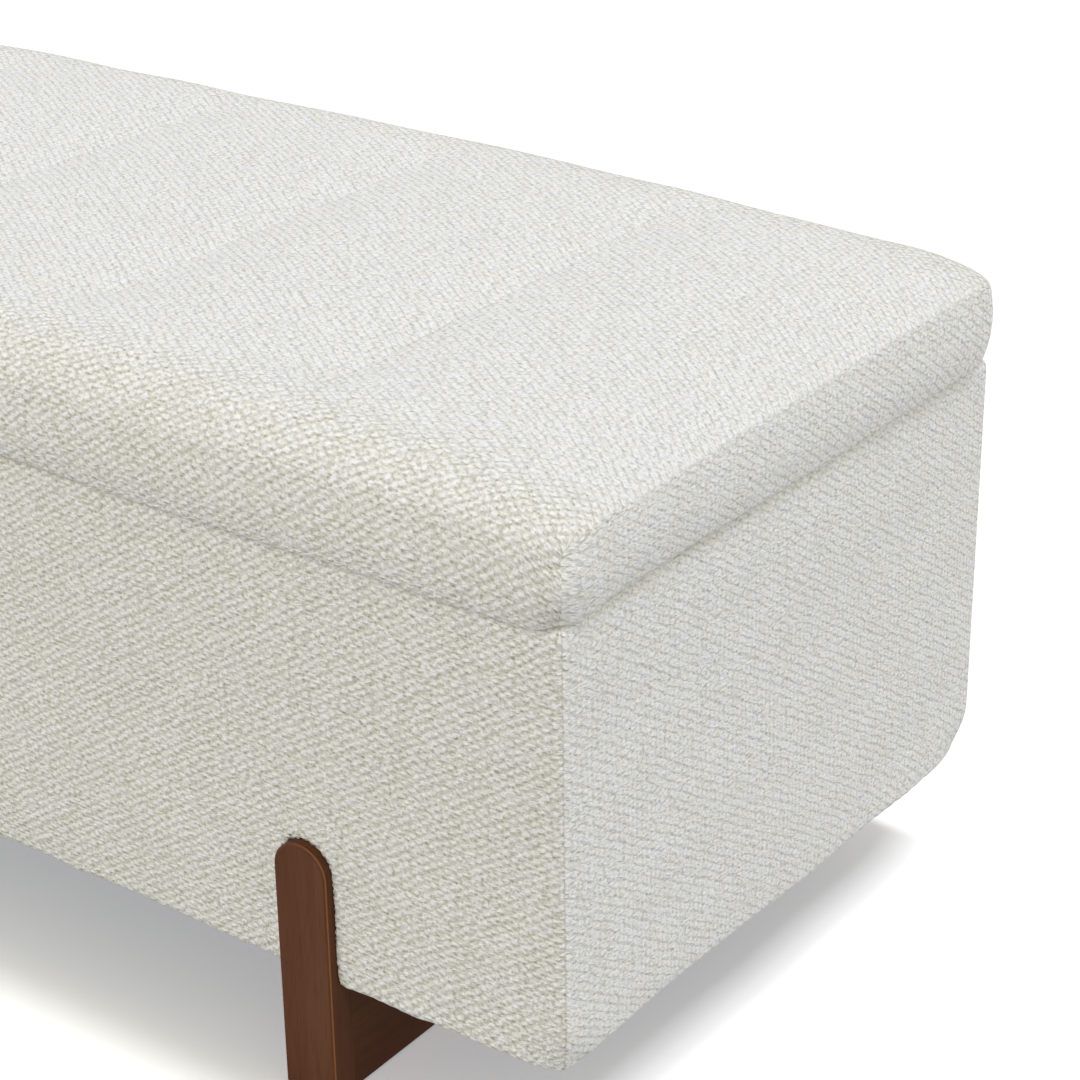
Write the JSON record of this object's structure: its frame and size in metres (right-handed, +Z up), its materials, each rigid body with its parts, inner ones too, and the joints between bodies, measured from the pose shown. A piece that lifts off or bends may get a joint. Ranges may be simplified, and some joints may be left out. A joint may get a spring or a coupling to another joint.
{
  "type": "storage ottoman",
  "caption": "Long upholstered storage ottoman: a padded box on wooden cradle legs under a channelled, cushioned lid on rear hinges and gas struts.",
  "frame": {"origin": "on the floor under the middle of the ottoman, with the lid closed", "axes": "+X along the ottoman's length to its right end, +Y to the back, where the lid's hinges are, +Z up"},
  "size_m": [1.234, 0.498, 0.456],
  "materials": {
    "cream_weave": "matte",
    "stained_wood": "satin",
    "plywood": "matte",
    "pale_wood": "matte",
    "foam": "matte",
    "lining_cloth": "matte",
    "felt": "matte",
    "zinc_steel": "satin",
    "brass": "satin",
    "black_steel": "satin",
    "black_plastic": "satin",
    "chrome_rod": "polished",
    "bumper_rubber": "matte"
  },
  "bodies": {
    "box": {"front_panel": "plywood", "back_panel": "plywood", "left_end_panel": "plywood", "right_end_panel": "plywood", "bottom_panel": "plywood", "corner_blocks": "plywood", "bottom_cleats": "plywood", "wall_screws": "zinc_steel", "front_foam": "foam", "back_foam": "foam", "left_foam": "foam", "right_foam": "foam", "front_cover": "cream_weave", "back_cover": "cream_weave", "left_cover": "cream_weave", "right_cover": "cream_weave", "dust_cover": "lining_cloth", "box_lining": "lining_cloth", "left_runner": "stained_wood", "right_runner": "stained_wood", "front_left_post": "stained_wood", "front_right_post": "stained_wood", "back_left_post": "stained_wood", "back_right_post": "stained_wood", "leg_dowels": "pale_wood", "leg_inserts": "brass", "leg_bolts": "zinc_steel", "floor_pads": "felt", "box_hinge_leaves": "zinc_steel", "hinge_pins": "zinc_steel", "box_leaf_screws": "zinc_steel", "left_box_bracket": "zinc_steel", "right_box_bracket": "zinc_steel", "box_bracket_screws": "zinc_steel", "box_pivot_clips": "black_steel"},
    "lid": {"lid_board": "plywood", "lid_battens": "plywood", "batten_screws": "zinc_steel", "lid_foam": "foam", "lid_top_cover": "cream_weave", "lid_left_boxing": "cream_weave", "lid_right_boxing": "cream_weave", "lid_lining": "lining_cloth", "lid_bumpers": "bumper_rubber", "lid_hinge_leaves": "zinc_steel", "lid_leaf_screws": "zinc_steel", "left_lid_bracket": "zinc_steel", "right_lid_bracket": "zinc_steel", "lid_bracket_screws": "zinc_steel", "lid_pivot_clips": "black_steel"},
    "left_cylinder": {"left_strut_tube": "black_steel", "left_strut_tube_eye": "black_plastic", "left_strut_guide": "black_plastic"},
    "left_piston_rod": {"left_strut_rod": "chrome_rod", "left_strut_rod_eye": "black_plastic"},
    "right_cylinder": {"right_strut_tube": "black_steel", "right_strut_tube_eye": "black_plastic", "right_strut_guide": "black_plastic"},
    "right_piston_rod": {"right_strut_rod": "chrome_rod", "right_strut_rod_eye": "black_plastic"}
  },
  "joints": [
    {"name": "lid_hinge", "type": "hinge", "parent": "box", "child": "lid", "pos_m": [0, 0.2434, 0.372], "axis": [-1, 0, 0], "range_deg": [0, 75]},
    {"name": "left_cylinder_pivot", "type": "hinge", "parent": "box", "child": "left_cylinder", "pos_m": [-0.5725, 0.17974, 0.1824], "axis": [-1, 0, 0], "range_deg": [0, 37.5]},
    {"name": "left_rod_pivot", "type": "hinge", "parent": "lid", "child": "left_piston_rod", "pos_m": [-0.5725, 0.04376, 0.36], "axis": [-1, 0, 0], "range_deg": [-37.5, 0]},
    {"name": "right_cylinder_pivot", "type": "hinge", "parent": "box", "child": "right_cylinder", "pos_m": [0.5725, 0.17974, 0.1824], "axis": [-1, 0, 0], "range_deg": [0, 37.5]},
    {"name": "right_rod_pivot", "type": "hinge", "parent": "lid", "child": "right_piston_rod", "pos_m": [0.5725, 0.04376, 0.36], "axis": [-1, 0, 0], "range_deg": [-37.5, 0]}
  ],
  "couplings": [
    {"joint": "left_cylinder_pivot", "follows": "lid_hinge", "ratio": 0.5},
    {"joint": "left_rod_pivot", "follows": "lid_hinge", "ratio": -0.5},
    {"joint": "right_cylinder_pivot", "follows": "lid_hinge", "ratio": 0.5},
    {"joint": "right_rod_pivot", "follows": "lid_hinge", "ratio": -0.5}
  ]
}
